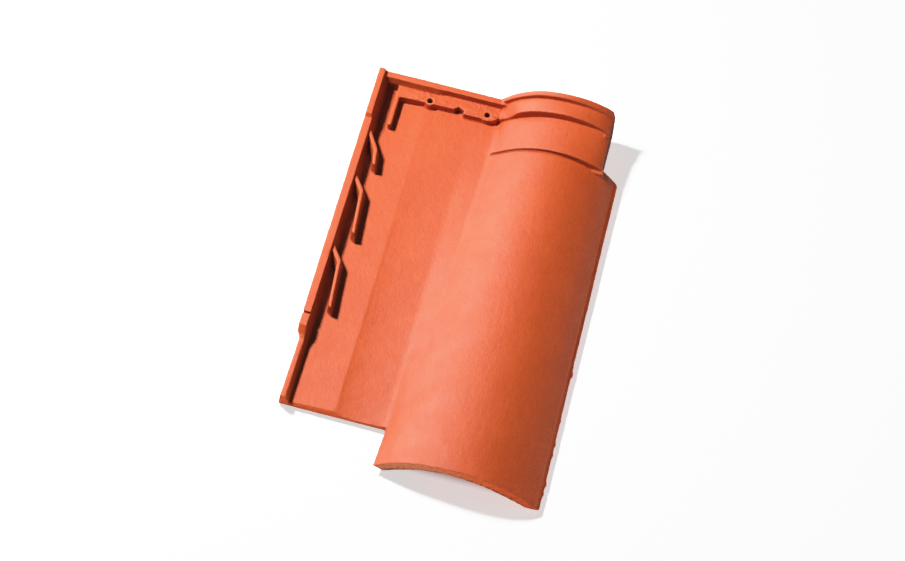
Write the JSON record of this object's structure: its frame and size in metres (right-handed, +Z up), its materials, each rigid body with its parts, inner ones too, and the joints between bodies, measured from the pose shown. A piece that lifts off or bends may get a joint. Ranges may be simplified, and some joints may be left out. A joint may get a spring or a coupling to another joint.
{
  "type": "clay roof tile",
  "caption": "Interlocking clay roof tile: flat pan with a side rib and bent water baffles, a hollow barrel roll beside it, and a stepped head with nail holes.",
  "frame": {"origin": "middle of the bounding box at the level underside the tile lies on", "axes": "+Y up the slope from the lower end of the roll to the head, +X from the rib to the roll, +Z up out of the weather face"},
  "size_m": [0.2804, 0.441, 0.0684],
  "materials": {
    "fired_clay": "matte fine-sanded fired clay, unglazed"
  },
  "bodies": {
    "root": {"roof_tile": "fired_clay"}
  },
  "joints": []
}
